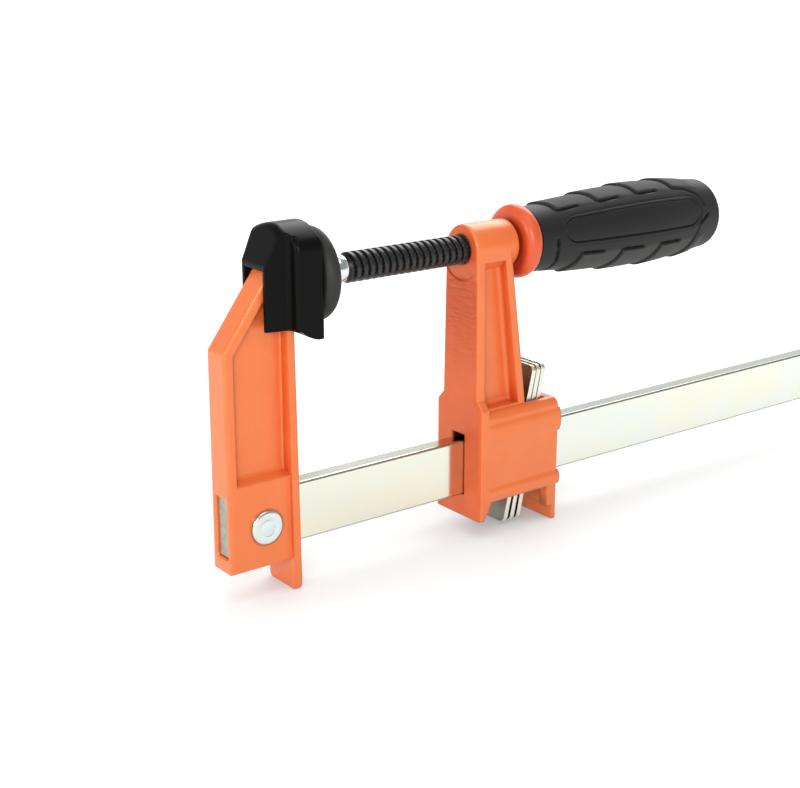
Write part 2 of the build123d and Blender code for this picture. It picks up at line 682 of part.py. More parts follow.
def make_handle_grip():
    """Grip sleeve: a neck that swells to a belly and a rounded end."""
    front_x = COLLAR_FACE_X + COLLAR_T
    rear_x = HANDLE_END_X
    bore_r = CORE_R + GRIP_FIT
    disc_r = CORE_END_R + GRIP_FIT
    disc_x = rear_x - CORE_END_T - GRIP_FIT
    nose = (rear_x - GRIP_NOSE_L, GRIP_TAIL_R - GRIP_TAIL_DROP)
    nose_mid = (rear_x - GRIP_NOSE_MID, GRIP_TAIL_R - GRIP_NOSE_DROP)
    end_r = disc_r + GRIP_RIM_T
    edges = [
        Polyline((front_x, bore_r), (front_x, GRIP_FRONT_R)),
        Spline(
            (front_x, GRIP_FRONT_R), (GRIP_NECK_X, GRIP_NECK_R), (GRIP_BELLY_X, GRIP_BELLY_R),
            (GRIP_TAIL_X, GRIP_TAIL_R), nose,
        ),
        ThreePointArc(nose, nose_mid, (rear_x, end_r)),
        Polyline((rear_x, end_r), (rear_x, disc_r), (disc_x, disc_r), (disc_x, bore_r), (front_x, bore_r)),
    ]
    return turned(edges)


def main():
    nodes = {
        "bar": make_bar(),
        "bar_stop_pin": make_stop_pin(),
        "fixed_jaw": make_fixed_jaw(),
        "jaw_rivet": make_rivet(),
        "fixed_pad": make_fixed_pad(),
        "sliding_jaw": make_sliding_jaw(),
        "clutch_plate_front": make_clutch_plate(0),
        "clutch_plate_middle": make_clutch_plate(1),
        "clutch_plate_rear": make_clutch_plate(2),
        "clutch_spring": make_clutch_spring(),
        "screw": make_screw(),
        "swivel_ball": make_swivel_ball(),
        "swivel_pad": make_swivel_pad(),
        "handle_core": make_handle_core(),
        "handle_grip": make_handle_grip(),
    }
    os.makedirs("parts", exist_ok=True)
    for name, solid in nodes.items():
        export_step(solid, f"parts/{name}.step")


main()
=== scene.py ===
"""Dresses the bar clamp: enamelled castings, zinc steel, a cut thread and a treaded grip."""
import json

import bmesh
import bpy
import numpy as np
from bpy.props import FloatProperty, FloatVectorProperty, IntProperty, PointerProperty
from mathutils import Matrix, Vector


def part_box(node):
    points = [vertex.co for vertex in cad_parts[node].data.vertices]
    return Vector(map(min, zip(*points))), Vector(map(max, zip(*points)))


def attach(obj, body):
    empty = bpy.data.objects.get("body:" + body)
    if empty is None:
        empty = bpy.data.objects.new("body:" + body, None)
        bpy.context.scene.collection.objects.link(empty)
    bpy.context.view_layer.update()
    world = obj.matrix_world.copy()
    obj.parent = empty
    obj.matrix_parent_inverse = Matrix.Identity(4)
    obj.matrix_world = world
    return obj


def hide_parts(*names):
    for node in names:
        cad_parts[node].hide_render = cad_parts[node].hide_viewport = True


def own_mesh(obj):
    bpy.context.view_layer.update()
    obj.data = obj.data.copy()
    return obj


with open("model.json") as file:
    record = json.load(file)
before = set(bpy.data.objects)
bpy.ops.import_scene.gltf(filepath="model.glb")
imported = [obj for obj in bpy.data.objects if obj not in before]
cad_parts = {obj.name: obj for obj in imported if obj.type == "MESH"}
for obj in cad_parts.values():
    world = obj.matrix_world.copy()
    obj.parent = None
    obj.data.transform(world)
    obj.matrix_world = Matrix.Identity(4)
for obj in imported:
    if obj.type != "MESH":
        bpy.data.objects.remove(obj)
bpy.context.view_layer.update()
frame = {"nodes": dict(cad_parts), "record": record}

bl_info = {
    "name": "Bar clamp dresser",
    "version": (1, 0, 0),
    "blender": (4, 5, 0),
    "location": "View3D > Sidebar > Clamp",
    "description": "Surfaces and finishes of a bar clamp, built around its solids",
    "category": "Object",
}

MM = 0.001
# Points nearer than this are one point
MERGE = 0.001 * MM
# Faces that turn less than this, in radians, are one flat face
FLAT_TURN = 0.01
# A turned piece is open by this radius at its poles, and capped there
POLE_R = 0.02 * MM
# Edges of the castings and the hood that turn more than this, in degrees, stay creased
CREASE = 18.0
BEHAVIOUR = frame["record"]["behaviour"]
BODY_OF = {node: body for body, nodes in BEHAVIOUR["bodies"].items() for node in nodes}
FEED = next(pair["ratio"] for pair in BEHAVIOUR["couplings"] if pair["joint"] == "screw_feed")
JAW_FRONT_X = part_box("sliding_jaw")[0].x
# Half width of the slot beside the bar that is painted near black as painted shade
TUNNEL_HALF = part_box("bar")[1].y + 0.45 * MM
# Heights between which the sliding jaw's front is scored, with a soft start and end
SCORED_Z = (52 * MM, 80 * MM, 86 * MM, 88 * MM)
# Heights over which the painted shade inside the bar's tunnel ends
TUNNEL_TOP_Z = (37 * MM, 40 * MM)
# Distances from the middle plane over which a pocket turns into an outer face
POCKET_Y = (3.6 * MM, 5.2 * MM)
# Painted shade in the grip's grooves and panel line, and in the screw's thread root
SHADE_BLACK = (0.002, 0.002, 0.002)
SCREW_AXIS_Z = sum(corner.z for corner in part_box("screw")) / 2
SCREW_R = (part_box("screw")[1].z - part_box("screw")[0].z) / 2


class ClampColours(bpy.types.PropertyGroup):
    """Colours of the clamp's finishes."""
    enamel: FloatVectorProperty(
        name="Enamel", description="Colour of the castings", subtype="COLOR",
        size=3, min=0, max=1, default=(0.80, 0.172, 0.048))
    # Deep enamel: the colour of thick enamel, and also of the painted shade on the pockets' walls and
    # the sliding jaw's front, and, much darker, inside the bar's tunnel
    enamel_thick_and_shaded: FloatVectorProperty(
        name="Deep enamel", description="Colour where the enamel lies thick", subtype="COLOR",
        size=3, min=0, max=1, default=(0.62, 0.074, 0.014))
    collar: FloatVectorProperty(
        name="Handle core", description="Colour of the handle's core and collar", subtype="COLOR",
        size=3, min=0, max=1, default=(0.62, 0.084, 0.019))
    plastic: FloatVectorProperty(
        name="Pad plastic", description="Colour of the moulded pads", subtype="COLOR",
        size=3, min=0, max=1, default=(0.0028, 0.0028, 0.0026))
    grip: FloatVectorProperty(
        name="Grip rubber", description="Colour of the handle's smooth rubber", subtype="COLOR",
        size=3, min=0, max=1, default=(0.012, 0.012, 0.0117))
    lug: FloatVectorProperty(
        name="Lug rubber", description="Colour of the handle's rough lugs", subtype="COLOR",
        size=3, min=0, max=1, default=(0.048, 0.048, 0.0465))
    zinc: FloatVectorProperty(
        name="Bar zinc", description="Colour of the bar's zinc plate", subtype="COLOR",
        size=3, min=0, max=1, default=(0.80, 0.80, 0.70))
    blue_zinc: FloatVectorProperty(
        name="Blue zinc", description="Colour of the small parts' zinc plate", subtype="COLOR",
        size=3, min=0, max=1, default=(0.70, 0.78, 0.77))
    oxide: FloatVectorProperty(
        name="Black oxide", description="Colour of the screw", subtype="COLOR",
        size=3, min=0, max=1, default=(0.011, 0.011, 0.0107))


class ThreadSizes(bpy.types.PropertyGroup):
    """Sizes of the screw's thread."""
    pitch: FloatProperty(
        name="Pitch", description="Advance of the thread in one turn",
        unit="LENGTH", default=2 * np.pi * FEED)
    depth: FloatProperty(
        name="Depth", description="Height from root to crest", unit="LENGTH", default=1.05 * MM)
    crest: FloatProperty(
        name="Crest share", description="Flat crest as a share of the pitch",
        subtype="FACTOR", default=0.46)
    flank: FloatProperty(
        name="Flank share", description="Each flank as a share of the pitch",
        subtype="FACTOR", default=0.13)
    steps: IntProperty(name="Steps", description="Rows of faces in one pitch", default=18)


class GripSizes(bpy.types.PropertyGroup):
    """Sizes of the grip's tread and panel."""
    groove_half: FloatProperty(
        name="Groove half width", description="Half the width of a tread groove",
        unit="LENGTH", default=0.70 * MM)
    groove_depth: FloatProperty(
        name="Groove depth", description="Depth of a tread groove", unit="LENGTH", default=1.15 * MM)
    lug_rise: FloatProperty(
        name="Lug rise", description="Height of a lug at its leading edge",
        unit="LENGTH", default=0.70 * MM)
    lug_pitch: FloatProperty(
        name="Lug pitch", description="Spacing of the tread lugs along the grip",
        unit="LENGTH", default=17.8 * MM)
    panel_half: FloatProperty(
        name="Panel half height", description="Half the height of the rounded panel",
        unit="LENGTH", default=5.1 * MM)
    panel_turn: FloatProperty(
        name="Panel turn", description="Angle of the panel above the horizontal",
        subtype="ANGLE", default=0.2967)


class StageSettings(bpy.types.PropertyGroup):
    """Floor, light and camera."""
    floor_half: FloatProperty(
        name="Floor half size", description="Half the side of the floor", unit="LENGTH", default=30.0)
    sky: FloatProperty(name="Sky strength", description="Strength of the dim surround", default=0.36)
    backdrop: FloatProperty(
        name="Backdrop strength", description="Extra strength low in the sky behind the clamp",
        default=0.9)
    near_glow: FloatProperty(
        name="Near glow", description="Light that the floor gives off under the clamp", default=0.72)
    far_glow: FloatProperty(
        name="Far glow", description="Light that the floor gives off away from the clamp", default=0.90)
    top_power: FloatProperty(
        name="Top light", description="Power of the softbox overhead", unit="POWER", default=1.6)
    key_power: FloatProperty(
        name="Key light", description="Power of the softbox high up behind the handle",
        unit="POWER", default=6.0)
    front_power: FloatProperty(
        name="Front light", description="Power of the softbox beside the camera",
        unit="POWER", default=5.0)
    end_power: FloatProperty(
        name="End light", description="Power of the softbox in line with the bar",
        unit="POWER", default=2.6)
    lens: FloatProperty(
        name="Focal length", description="Focal length on a 36 mm sensor", unit="CAMERA", default=66.24)
    camera_place: FloatVectorProperty(
        name="Camera place", description="Where the camera stands", subtype="TRANSLATION",
        size=3, default=(-0.22532, -0.35616, 0.19116))
    camera_aim: FloatVectorProperty(
        name="Camera aim", description="A point on the camera's axis", subtype="TRANSLATION",
        size=3, default=(0.04023, -0.00604, 0.05506))


GROUPS = {
    "clamp_colours": ClampColours,
    "clamp_thread": ThreadSizes,
    "clamp_grip": GripSizes,
    "clamp_stage": StageSettings,
}


def shade(colour, factor):
    """A colour times a number, or times one number for each channel."""
    return np.multiply(colour, factor).tolist()


class Value:
    """A socket that carries a number. Its operators add Math nodes."""

    def __init__(self, nodes, socket):
        self.nodes = nodes
        self.socket = socket

    def join(self, operation, first, second):
        node = self.nodes.node("ShaderNodeMath", {"operation": operation}, {0: first, 1: second})
        return Value(self.nodes, node.outputs[0])

    def __add__(self, other):
        return self.join("ADD", self, other)

    def __radd__(self, other):
        return self.join("ADD", other, self)

    def __sub__(self, other):
        return self.join("SUBTRACT", self, other)

    def __rsub__(self, other):
        return self.join("SUBTRACT", other, self)

    def __mul__(self, other):
        return self.join("MULTIPLY", self, other)

    def __rmul__(self, other):
        return self.join("MULTIPLY", other, self)

    def __pow__(self, other):
        return self.join("POWER", self, other)

    def __lt__(self, other):
        return self.join("LESS_THAN", self, other)

    def __gt__(self, other):
        return self.join("GREATER_THAN", self, other)


class Nodes:
    """A node tree built node by node. Its patterns read one output of Texture Coordinate."""

    def __init__(self, tree, coordinate):
        self.tree = tree
        self.tree.nodes.clear()
        self.source = self.node("ShaderNodeTexCoord")
        self.place = self.out(self.source, coordinate)

    def node(self, kind, settings=None, inputs=None):
        """Adds a node: its settings first, then the values or links of its sockets."""
        node = self.tree.nodes.new(kind)
        for key, value in (settings or {}).items():
            setattr(node, key, value)
        for key, value in (inputs or {}).items():
            self.feed(node.inputs[key], value)
        return node

    def feed(self, socket, value):
        if isinstance(value, Value):
            self.tree.links.new(value.socket, socket)
        else:
            socket.default_value = value

    def out(self, node, name):
        return Value(self, node.outputs[name])

    def axes(self, vector=None):
        """The three parts of a vector, or of the coordinates, as numbers."""
        split = self.node("ShaderNodeSeparateXYZ", {}, {0: vector or self.place})
        return [self.out(split, axis) for axis in "XYZ"]

    def stretched(self, scale):
        """Coordinates scaled by a factor on each axis."""
        node = self.node("ShaderNodeMapping", {}, {"Vector": self.place, "Scale": scale})
        return self.out(node, "Vector")

    def distance(self, point):
        """Distance from a point."""
        node = self.node("ShaderNodeVectorMath", {"operation": "DISTANCE"}, {0: self.place, 1: point})
        return self.out(node, "Value")

    def noise(self, scale, detail=2.0, roughness=0.5, place=None):
        """Cloudy pattern from 0 to 1, whose grain is about one over the scale."""
        inputs = {
            "Vector": place or self.place,
            "Scale": scale,
            "Detail": detail,
            "Roughness": roughness,
        }
        return self.out(self.node("ShaderNodeTexNoise", {}, inputs), "Fac")

    def ramp(self, value, low, high, low_out=0.0, high_out=1.0):
        """Maps low..high to low_out..high_out, held outside."""
        inputs = {
            "Value": value,
            "From Min": low,
            "From Max": high,
            "To Min": low_out,
            "To Max": high_out,
        }
        return self.out(self.node("ShaderNodeMapRange", {}, inputs), "Result")

    def absolute(self, value):
        return self.out(self.node("ShaderNodeMath", {"operation": "ABSOLUTE"}, {0: value}), "Value")

    def attribute(self, name):
        """A number that the mesh carries at its points."""
        return self.out(self.node("ShaderNodeAttribute", {"attribute_name": name}), "Fac")

    def mix(self, share, first, second):
        """Colour between two colours."""
        node = self.node("ShaderNodeMix", {"data_type": "RGBA"}, {"Factor": share})
        sockets = [s for s in node.inputs if s.type == "RGBA"]
        for socket, colour in zip(sockets, (first, second)):
            self.feed(socket, colour if isinstance(colour, Value) else (*colour, 1.0))
        return Value(self, next(s for s in node.outputs if s.type == "RGBA"))


class Finish(Nodes):
    """A material with one Principled shader, whose constants are set on its sockets."""

    def __init__(self, name, **constants):
        self.material = bpy.data.materials.new(name)
        self.material.use_nodes = True
        super().__init__(self.material.node_tree, "Object")
        self.surface = self.node("ShaderNodeBsdfPrincipled", {}, constants)
        self.node("ShaderNodeOutputMaterial", {}, {"Surface": self.out(self.surface, "BSDF")})

    def openness(self, reach, own_only):
        """1 in the open, 0 where the piece itself, or anything, closes in within reach."""
        settings = {"samples": 8, "only_local": own_only}
        return self.out(self.node("ShaderNodeAmbientOcclusion", settings, {"Distance": reach}), "AO")

    def bump(self, height, distance, strength=1.0, edge_radius=None):
        """Relief in the surface, over edges that are rounded off where a radius is given."""
        inputs = {"Height": height, "Distance": distance, "Strength": strength}
        if edge_radius:
            rounded = self.node("ShaderNodeBevel", {"samples": 8}, {"Radius": edge_radius})
            inputs["Normal"] = self.out(rounded, "Normal")
        self.set("Normal", self.out(self.node("ShaderNodeBump", {}, inputs), "Normal"))

    def set(self, socket, value):
        self.feed(self.surface.inputs[socket], value)


def enamel_finish(colours):
    """Orange enamel over a sand casting, scored on the column's front, with painted shade on the
    pockets' walls, on the sliding jaw's front and inside the bar's tunnel.
    """
    s = Finish("orange_enamel", **{
        "Coat Roughness": 0.16,
        "Specular IOR Level": 0.80,
        "Specular Tint": (1.0, 0.90, 0.55, 1.0),
    })
    x, y, z = s.axes()
    front = (x < JAW_FRONT_X + 0.6 * MM) * (x > JAW_FRONT_X - 0.4 * MM)
    start, full, fade, end = SCORED_Z
    ground = front * s.ramp(z, start, full) * s.ramp(z, end, fade)
    pooled = s.ramp(s.noise(90.0, 3.0), 0.35, 0.7)
    # Painted shade on the pockets' walls: darker where the piece closes in round them, on faces that do
    # not face sideways
    facing = s.axes(s.out(s.source, "Normal"))[1]
    wall_shade = s.ramp(s.openness(8 * MM, True), 0.80, 0.45) * s.ramp(s.absolute(facing), 0.7, 0.4)
    scored = s.ramp(s.noise(900.0, 4.0, 0.6, s.stretched((1.0, 0.14, 1.0))), 0.35, 0.65)
    # Deep colour: random pooled enamel and the scored marks, with painted shade on the pockets' walls
    # and on the sliding jaw's whole front face
    depth = s.ramp(0.18 * pooled + 0.75 * front + 0.95 * wall_shade + 0.45 * ground * (1 - scored), 0.0, 1.0)
    # Painted shade: the inside of the bar's tunnel, where the piece closes in, and the slot beside the
    # bar from just behind the sliding jaw's front, are painted near black
    beside_bar = (s.absolute(y) < TUNNEL_HALF) * (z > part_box("bar")[0].z - 1 * MM)
    mouth = s.ramp(x, JAW_FRONT_X + 0.3 * MM, JAW_FRONT_X + 1.2 * MM, 0.0, 0.85)
    tunnel_shade = s.ramp(s.openness(40 * MM, True), 0.40, 0.16)
    below = s.ramp(z, TUNNEL_TOP_Z[1], TUNNEL_TOP_Z[0])
    tunnel = s.ramp(tunnel_shade + mouth * beside_bar, 0.0, 1.0) * below
    enamel = s.mix(depth, colours.enamel, colours.enamel_thick_and_shaded)
    s.set("Base Color", s.mix(tunnel, enamel, shade(colours.enamel_thick_and_shaded, 0.06)))
    s.set("Coat Weight", 0.06 - 0.06 * front)
    peel = s.noise(950.0, 2.0)
    sand = s.noise(330.0, 3.0)
    # The cores leave the pockets coarser than the outer faces
    pocket = s.ramp(s.absolute(y), POCKET_Y[1], POCKET_Y[0])
    s.set("Roughness", 0.26 + 0.10 * s.noise(300.0, 2.0) + 0.14 * front + 0.20 * ground * scored)
    s.bump(0.10 * peel + (0.16 + 0.5 * pocket) * sand + 1.5 * ground * scored, 0.30 * MM, 0.8, 1.1 * MM)
    return s.material


class ZincFinish(Finish):
    """Bright zinc plate: fine draw lines along one axis and a faint yellow and blue cast."""

    def __init__(self, name, colour, along, roughness):
        super().__init__(name, **{"Metallic": 1.0, "Specular Tint": (0.66, 0.69, 0.67, 1.0)})
        stretch = [1.0, 1.0, 1.0]
        stretch["XYZ".index(along)] = 0.02
        lines = self.noise(2600.0, 3.0, 0.6, self.stretched(stretch))
        stretch["XYZ".index(along)] = 0.35
        cloud = self.ramp(self.noise(85.0, 3.0, 0.5, self.stretched(stretch)), 0.40, 0.60)
        warm = shade(colour, (1.04, 1.0, 0.93))
        cool = shade(colour, (0.96, 1.01, 1.08))
        x = self.axes()[0]
        self.plate = self.mix(self.ramp(x, 50 * MM, 130 * MM, 0.0, 0.4) + 0.6 * cloud, warm, cool)
        self.gloss = roughness + 0.06 * lines
        self.set("Base Color", self.plate)
        self.set("Roughness", self.gloss)
        self.bump(lines, 0.006 * MM, 0.5)


def bar_finish(colour):
    """Zinc plate that is grey and rough on the bar's sheared ends, and rougher on its drawn corners,
    where a darker grey is painted as painted shade.
    """
    s = ZincFinish("bar_zinc", colour, "X", 0.10)
    x, y, z = s.axes()
    low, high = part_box("bar")
    middle = (low + high) / 2
    half = (high - low) / 2
    drawn = 0.70 * MM
    sheared = s.absolute(x - middle.x) > half.x - 0.4 * MM
    at_side = s.absolute(y - middle.y) > half.y - drawn
    at_edge = s.absolute(z - middle.z) > half.z - drawn
    corner = at_side * at_edge
    mottle = s.ramp(s.noise(700.0, 4.0), 0.3, 0.7)
    steel = s.mix(mottle, shade(colour, 0.48), shade(colour, 0.66))
    # Painted shade: the long corners get a darker grey, for the shadowed floor that their rounding
    # reflects; the sheared ends are bare steel
    s.set("Base Color", s.mix(s.ramp(sheared + 0.9 * corner, 0.0, 1.0), s.plate, steel))
    s.set("Roughness", s.gloss + 0.35 * sheared + 0.15 * corner)
    return s.material


def plate_finish(colour):
    """Clutch plates: bright sheared edges, and faces painted dark grey as painted shade."""
    s = Finish("plate_zinc", **{"Metallic": 1.0})
    facing = s.axes(s.out(s.source, "Normal"))[0]
    edge = s.ramp(s.absolute(facing), 0.85, 0.60)
    shear = s.noise(900.0, 4.0, 0.6, s.stretched((1.0, 1.0, 0.12)))
    bright = s.mix(shear, shade(colour, 0.90), shade(colour, 1.12))
    # Painted shade: the faces are painted dark grey, for the dark inside of the jaw that they reflect
    shaded_face = s.mix(s.noise(160.0, 3.0), shade(colour, 0.22), shade(colour, 0.36))
    s.set("Base Color", s.mix(edge, shaded_face, bright))
    s.set("Roughness", 0.30 + 0.16 * shear)
    s.bump(shear, 0.05 * MM, 0.6)
    return s.material


def moulded_finish(name, colour, roughness, grain, specular):
    """Moulded plastic with a fine spark-eroded grain."""
    s = Finish(name, **{"Specular IOR Level": specular})
    speckle = s.noise(grain, 2.0)
    s.set("Base Color", s.mix(s.noise(120.0, 2.0), colour, shade(colour, 1.35)))
    s.set("Roughness", roughness + 0.12 * speckle)
    s.bump(speckle, 0.04 * MM, 0.5, 0.9 * MM)
    return s.material


def core_finish(colour):
    """Glossy orange plastic, with painted shade, deeper and darker, where the collar turns in towards
    the jaw's boss.
    """
    s = Finish("core_plastic", **{"Specular IOR Level": 0.5})
    speckle = s.noise(1200.0, 2.0)
    # Painted shade: the collar's face is painted a deeper, darker orange where it turns in close to the
    # jaw's boss
    boss_shade = s.ramp(s.openness(10 * MM, False), 0.85, 0.40)
    shallow = s.mix(s.noise(120.0, 2.0), colour, shade(colour, 1.2))
    s.set("Base Color", s.mix(boss_shade, shallow, shade(colour, (0.55, 0.30, 0.25))))
    s.set("Roughness", 0.28 + 0.12 * speckle)
    s.bump(speckle, 0.04 * MM, 0.5)
    return s.material


def grip_finish(colours):
    """Black rubber: smooth on neck, panel and nose, rough and pale on lugs, with the grooves and the
    panel's line painted black as painted shade.
    """
    s = Finish("grip_rubber", **{"Specular IOR Level": 0.28})
    lug = s.attribute("lug")
    groove = s.attribute("groove")
    speckle = s.noise(2100.0, 3.0)
    pale = s.mix(speckle, shade(colours.lug, 0.75), shade(colours.lug, 1.3))
    rubber = s.mix(lug, colours.grip, pale)
    # Painted shade: the grooves and the panel's line are painted black
    s.set("Base Color", s.mix(groove, rubber, SHADE_BLACK))
    s.set("Roughness", 0.46 + 0.10 * speckle + 0.16 * lug)
    s.bump(speckle * (0.25 + 0.75 * lug), 0.10 * MM, 0.6)
    return s.material


def oxide_finish(colour):
    """Black oxide on a rolled thread: a paler mottle on the crests, and the root painted black as
    painted shade.
    """
    s = Finish("black_oxide", **{"Metallic": 0.20, "Specular IOR Level": 0.5})
    y, z = s.axes()[1:]
    radius = (y * y + (z - SCREW_AXIS_Z) * (z - SCREW_AXIS_Z)) ** 0.5
    crest = s.ramp(radius, SCREW_R - 0.8 * MM, SCREW_R - 0.1 * MM)
    mottle = s.noise(380.0, 3.0)
    crest_oxide = s.mix(mottle, colour, shade(colour, 2.2))
    # Painted shade: the thread's root is painted black, and the crests keep the oxide's colour with a
    # paler mottle
    s.set("Base Color", s.mix(crest, SHADE_BLACK, crest_oxide))
    s.set("Roughness", 0.26 + 0.12 * mottle)
    s.bump(s.noise(1400.0, 2.0), 0.01 * MM, 0.4)
    return s.material


def grid_mesh(name, rows, capped=True):
    """Skin of a grid of points (rows, ring, 3): each row is a ring joined to the next one.

    Both ends are capped, unless the last ring meets the first.
    """
    count, ring = rows.shape[:2]
    index = np.arange(count * ring).reshape(count, ring)
    nxt = np.roll(index, -1, axis=1)
    quads = np.stack([index[:-1], nxt[:-1], nxt[1:], index[1:]], axis=-1).reshape(-1, 4)
    mesh = bpy.data.meshes.new(name)
    faces = quads.tolist()
    if capped:
        faces += [index[0][::-1].tolist(), index[-1].tolist()]
    mesh.from_pydata(rows.reshape(-1, 3).tolist(), [], faces)
    return mesh


def turned_rows(x, radius, ring):
    """Points of a turned surface: at each x a ring about the screw axis.

    A ring has one radius, or one for each of its points.
    """
    angle = np.linspace(0, 2 * np.pi, ring, endpoint=False)
    x = np.asarray(x, float)
    radius = np.asarray(radius, float)
    if radius.ndim == 1:
        radius = np.repeat(radius[:, None], ring, axis=1)
    across = -radius * np.cos(angle)
    up = SCREW_AXIS_Z + radius * np.sin(angle)
    along = np.repeat(x[:, None], ring, axis=1)
    return np.stack([along, across, up], axis=-1)


def arc_points(centre, radius, start, end, count):
    """Points on a circle in the (x, r) plane, from start to end in degrees."""
    angle = np.radians(np.linspace(start, end, count))
    return np.stack([centre[0] + radius * np.cos(angle), centre[1] + radius * np.sin(angle)], axis=1)


def show(mesh, node, material, sharp=35.0):
    """Puts a mesh in the scene in place of a solid, on the solid's body."""
    tidy = bmesh.new()
    tidy.from_mesh(mesh)
    bmesh.ops.remove_doubles(tidy, verts=tidy.verts, dist=MERGE)
    bmesh.ops.recalc_face_normals(tidy, faces=tidy.faces)
    tidy.to_mesh(mesh)
    tidy.free()
    mesh.shade_smooth()
    mesh.set_sharp_from_angle(angle=np.radians(sharp))
    piece = bpy.data.objects.new(mesh.name, mesh)
    bpy.context.scene.collection.objects.link(piece)
    mesh.materials.clear()
    mesh.materials.append(material)
    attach(piece, BODY_OF[node])
    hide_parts(node)
    return piece


def softened(node, name, material, width=0.0, sharp=30.0):
    """A solid's own shape: merged, flat faces joined, and its edges broken where a width is given."""
    mesh = frame["nodes"][node].data.copy()
    mesh.name = name
    joined = bmesh.new()
    joined.from_mesh(mesh)
    bmesh.ops.remove_doubles(joined, verts=joined.verts, dist=MERGE)
    bmesh.ops.dissolve_limit(joined, angle_limit=FLAT_TURN, verts=joined.verts, edges=joined.edges)
    joined.to_mesh(mesh)
    joined.free()
    piece = show(mesh, node, material, sharp)
    if width:
        bevel = piece.modifiers.new("broken edges", "BEVEL")
        bevel.width = width
        bevel.segments = 3
        bevel.limit_method = "ANGLE"
        bevel.angle_limit = np.radians(sharp)
    weighted = piece.modifiers.new("flat faces", "WEIGHTED_NORMAL")
    weighted.keep_sharp = True
    weighted.weight = 100
    return piece


def coat(node, material):
    """Gives a solid that keeps its own mesh a finish."""
    mesh = frame["nodes"][node].data
    mesh.materials.clear()
    mesh.materials.append(material)


class CLAMP_OT_castings(bpy.types.Operator):
    """Enamelled fixed and sliding jaws"""
    bl_idname = "clamp.castings"
    bl_label = "Castings"

    def execute(self, context):
        enamel = enamel_finish(context.scene.clamp_colours)
        for jaw in ("fixed_jaw", "sliding_jaw"):
            softened(jaw, f"{jaw}_casting", enamel, sharp=CREASE)
        return {"FINISHED"}


class CLAMP_OT_bar(bpy.types.Operator):
    """Drawn zinc bar, its stop pin and its rivet"""
    bl_idname = "clamp.bar"
    bl_label = "Bar and rivet"

    # Profile of a head with its faint closing ring: mm in from its face, mm from its axis
    RIVET_HEAD = (
        (0, 0.02), (0, 2.45), (0.07, 2.60), (0, 2.75), (0.02, 4.35), (0.10, 4.80),
        (0.32, 5.20), (0.60, 5.36), (0.80, 5.40), (1.20, 5.40), (1.20, 3.0),
    )

    def rivet_rows(self, ring):
        """Turned about an axis across the clamp: two flat heads and a shank.

        A ring at each y has the radius of the head's profile there, and the far
        head is the near one turned round.
        """
        low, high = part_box("jaw_rivet")
        head_r = (high.x - low.x) / 2
        head = np.array(self.RIVET_HEAD) * MM
        head[:, 1] *= head_r / head[:, 1].max()
        near = head + (low.y, 0)
        far = (head * (-1, 1) + (high.y, 0))[::-1]
        profile = np.concatenate([near, far])
        angle = np.linspace(0, 2 * np.pi, ring, endpoint=False)
        along = np.repeat(profile[:, :1], ring, axis=1)
        x = (low.x + high.x) / 2 + profile[:, 1:] * np.cos(angle)
        z = (low.z + high.z) / 2 + profile[:, 1:] * np.sin(angle)
        return np.stack([x, along, z], axis=-1)

    def execute(self, context):
        colours = context.scene.clamp_colours
        softened("bar", "drawn_bar", bar_finish(colours.zinc), 0.25 * MM)
        rivet = ZincFinish("rivet_zinc", colours.blue_zinc, "Y", 0.22).material
        show(grid_mesh("flat_rivet", self.rivet_rows(96)), "jaw_rivet", rivet, 40.0)
        coat("bar_stop_pin", rivet)
        return {"FINISHED"}


class CLAMP_OT_clutch(bpy.types.Operator):
    """Sheared clutch plates and their spring"""
    bl_idname = "clamp.clutch"
    bl_label = "Clutch"

    SPRING_TURNS = 6
    SPRING_WIRE_R = 0.35 * MM
    # Length left when the plates stand straight
    SPRING_KEEP = 0.96

    def coil_rows(self, steps, ring):
        """A round wire carried along a helix: at each step a ring square to the helix.

        The helix starts at its lowest point. Out from its axis and across both the
        axis and the wire are the two directions that each ring is drawn in.
        """
        low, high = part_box("clutch_spring")
        coil_r = (high.y - low.y) / 2 - self.SPRING_WIRE_R
        length = high.x - low.x - 2 * self.SPRING_WIRE_R
        turn = np.linspace(0, 2 * np.pi * self.SPRING_TURNS, steps)[:, None]
        out = np.stack([0 * turn, np.sin(turn), -np.cos(turn)], axis=-1)
        round_axis = np.stack([0 * turn, np.cos(turn), np.sin(turn)], axis=-1)
        lead = length / (2 * np.pi * self.SPRING_TURNS)
        along = coil_r * round_axis + lead * np.array([1.0, 0.0, 0.0])
        along /= np.linalg.norm(along, axis=-1, keepdims=True)
        across = np.cross(along, out)
        start = np.array([low.x + self.SPRING_WIRE_R, (low.y + high.y) / 2, (low.z + high.z) / 2])
        centre = start + coil_r * out + lead * turn[..., None] * np.array([1.0, 0.0, 0.0])
        angle = np.linspace(0, 2 * np.pi, ring, endpoint=False)[None, :, None]
        return centre + self.SPRING_WIRE_R * (np.cos(angle) * out + np.sin(angle) * across)

    def execute(self, context):
        steel = plate_finish(context.scene.clamp_colours.zinc)
        for place in ("front", "middle", "rear"):
            softened(f"clutch_plate_{place}", f"sheared_plate_{place}", steel, 0.2 * MM)
        spring = show(grid_mesh("coil_spring", self.coil_rows(240, 12)), "clutch_spring", steel, 60.0)
        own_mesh(spring)
        return {"FINISHED"}


class CLAMP_OT_pads(bpy.types.Operator):
    """Moulded hood pad and swivel pad"""
    bl_idname = "clamp.pads"
    bl_label = "Pads"

    def execute(self, context):
        colour = context.scene.clamp_colours.plastic
        plastic = moulded_finish("pad_plastic", colour, 0.26, 1500.0, 0.08)
        softened("fixed_pad", "hood_pad", plastic, sharp=CREASE)
        # The swivel pad's plastic is the pad plastic, rougher, and seven times paler in colour as a
        # painted sheen
        lit_disc_plastic = moulded_finish("disc_plastic", shade(colour, 7), 0.48, 1500.0, 0.30)
        softened("swivel_pad", "round_pad", lit_disc_plastic, 0.3 * MM)
        return {"FINISHED"}


